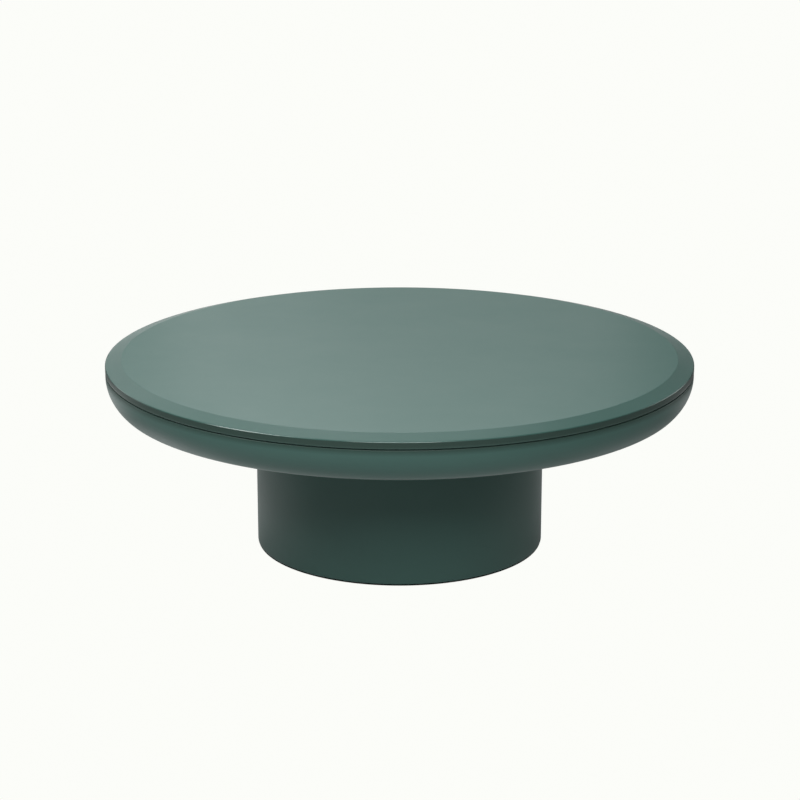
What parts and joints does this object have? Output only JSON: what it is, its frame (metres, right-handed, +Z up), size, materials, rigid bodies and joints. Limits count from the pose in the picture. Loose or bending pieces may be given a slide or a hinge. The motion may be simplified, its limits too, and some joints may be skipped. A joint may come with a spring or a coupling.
{
  "type": "round pedestal side table",
  "caption": "Low round side table: a bevelled lacquered top over a thin shadow gap, on a rim that curves in underneath and a plain drum column.",
  "frame": {"origin": "on the floor, under the centre of the table", "axes": "+Z up along the column's axis; the table looks the same from every side"},
  "size_m": [0.9, 0.9, 0.3],
  "materials": {
    "lacquered_top": "satin lacquer, deep green, darker on the panel's edge",
    "lacquer": "satin lacquer, deep green",
    "plywood": "raw birch plywood",
    "fibreboard": "raw fibreboard",
    "ballast_steel": "black-oiled steel plate",
    "zinc_plate": "bright zinc plate",
    "black_plastic": "moulded black plastic",
    "felt": "dense grey felt"
  },
  "bodies": {
    "root": {"top_panel": "lacquered_top", "carrier_board": "plywood", "rim_ring": "lacquer", "underside_panel": "lacquer", "core_block": "plywood", "radial_rib_1": "fibreboard", "radial_rib_2": "fibreboard", "radial_rib_3": "fibreboard", "radial_rib_4": "fibreboard", "radial_rib_5": "fibreboard", "radial_rib_6": "fibreboard", "radial_rib_7": "fibreboard", "radial_rib_8": "fibreboard", "column_shell": "lacquer", "column_head_board": "plywood", "column_base_board": "plywood", "column_post_1": "fibreboard", "column_post_2": "fibreboard", "column_post_3": "fibreboard", "column_post_4": "fibreboard", "ballast_plate": "ballast_steel", "top_screws": "zinc_plate", "underside_screws": "zinc_plate", "head_board_screws": "zinc_plate", "base_board_screws": "zinc_plate", "ballast_screws": "zinc_plate", "glide_screws": "zinc_plate", "column_bolts": "zinc_plate", "column_washers": "zinc_plate", "core_inserts": "zinc_plate", "glide_1": "black_plastic", "glide_2": "black_plastic", "glide_3": "black_plastic", "glide_4": "black_plastic", "glide_sole_1": "felt", "glide_sole_2": "felt", "glide_sole_3": "felt", "glide_sole_4": "felt"}
  },
  "joints": []
}
